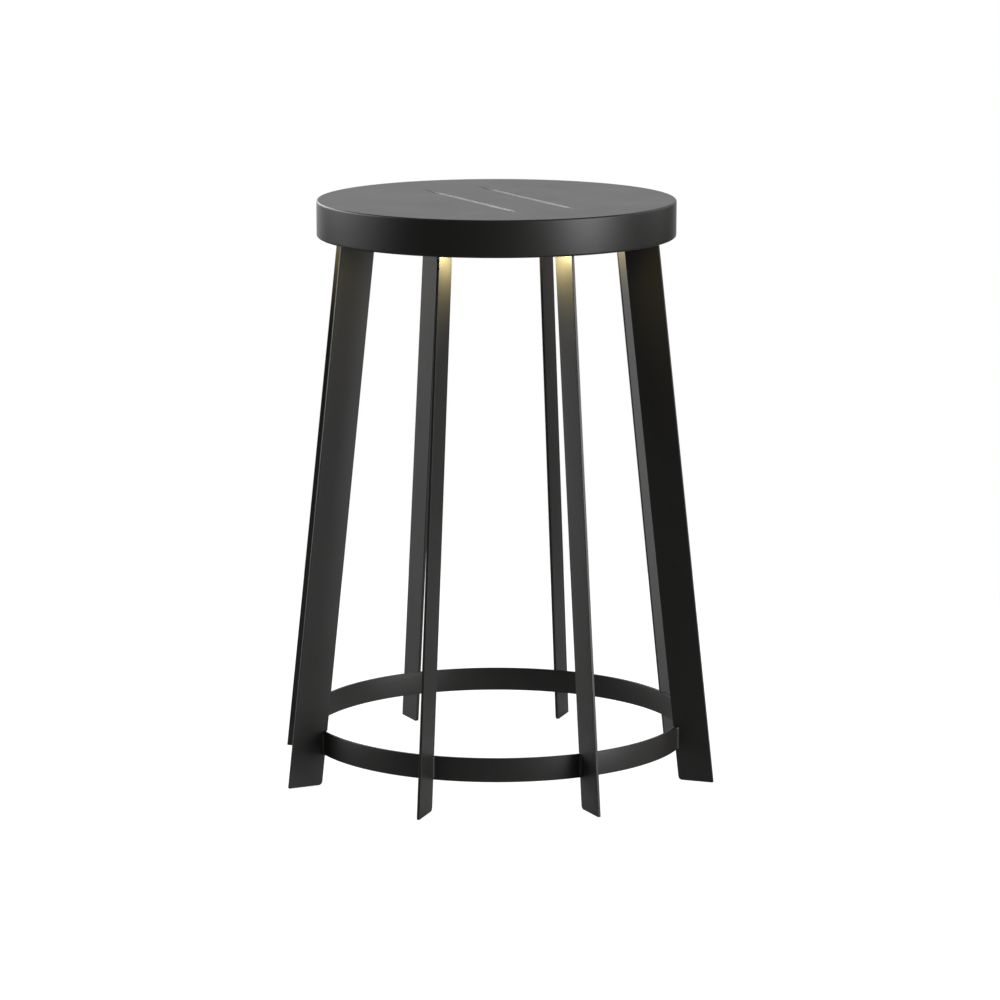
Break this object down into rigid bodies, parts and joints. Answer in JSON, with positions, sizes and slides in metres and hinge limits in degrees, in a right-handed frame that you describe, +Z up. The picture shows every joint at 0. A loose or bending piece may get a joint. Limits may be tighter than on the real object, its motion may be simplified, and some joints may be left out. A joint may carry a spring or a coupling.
{
  "type": "stool",
  "caption": "Round metal stool with a deep-rimmed seat with two shallow grooves, radial flat-bar legs, a hoop near the floor and a rechargeable lamp under the seat.",
  "frame": {"origin": "on the floor, on the stool's upright axis, level with the undersides of the feet", "axes": "+Z up; -Y is the front, halfway between two legs, on the side of the lamp's button; +X is on the right as seen from the front"},
  "size_m": [0.3576, 0.3576, 0.485],
  "materials": {
    "powder_coat": "fine-grained satin powder coat, anthracite",
    "zinc": "bright zinc plate",
    "housing": "fine moulded texture",
    "opal": "satin opal, lit from behind with warm light",
    "rubber": "matt moulded silicone",
    "aluminium": "mill finish",
    "steel": "stainless, turned",
    "board": "solder mask on glass laminate",
    "white_board": "white solder mask",
    "emitter": "clear lens over yellow phosphor",
    "cell_wrap": "shrunk film",
    "lead_sheath": "soft insulation"
  },
  "bodies": {
    "frame": {"seat_pan": "powder_coat", "leg_1": "powder_coat", "leg_2": "powder_coat", "leg_3": "powder_coat", "leg_4": "powder_coat", "leg_5": "powder_coat", "leg_6": "powder_coat", "leg_7": "powder_coat", "leg_8": "powder_coat", "foot_hoop": "powder_coat", "leg_ring": "powder_coat", "seat_stud_1": "zinc", "seat_stud_2": "zinc", "seat_stud_3": "zinc", "seat_stud_4": "zinc", "stud_nut_1": "zinc", "stud_nut_2": "zinc", "stud_nut_3": "zinc", "stud_nut_4": "zinc", "lamp_boss_1": "powder_coat", "lamp_boss_2": "powder_coat", "lamp_boss_3": "powder_coat", "lamp_boss_4": "powder_coat", "lamp_screw_1": "zinc", "lamp_screw_2": "zinc", "lamp_screw_3": "zinc", "lamp_screw_4": "zinc", "lamp_housing": "housing", "bezel_ring": "housing", "bezel_screw_1": "steel", "bezel_screw_2": "steel", "bezel_screw_3": "steel", "bezel_screw_4": "steel", "diffuser": "opal", "lens_gasket": "rubber", "led_plate": "aluminium", "led_board": "white_board", "led_1": "emitter", "led_2": "emitter", "led_3": "emitter", "led_4": "emitter", "led_5": "emitter", "led_6": "emitter", "battery_cell_1": "cell_wrap", "battery_cell_2": "cell_wrap", "control_board": "board", "charge_board": "board", "charge_socket": "steel", "cap_pin": "steel", "switch_body": "housing", "switch_board": "board", "battery_lead_1": "lead_sheath", "battery_lead_2": "lead_sheath", "switch_lead": "lead_sheath", "charge_lead": "lead_sheath", "led_lead": "lead_sheath"},
    "button": {"push_button": "rubber", "switch_stem": "steel"},
    "cap": {"socket_cap": "rubber"}
  },
  "joints": [
    {"name": "button_press", "type": "slide", "parent": "frame", "child": "button", "axis": [0, 0, 1], "range_m": [0, 0.0012], "stiffness_N_per_m": 500},
    {"name": "cap_swing", "type": "hinge", "parent": "frame", "child": "cap", "pos_m": [0, 0.08392, 0.4722], "axis": [1, 0, 0], "range_deg": [0, 110]}
  ]
}
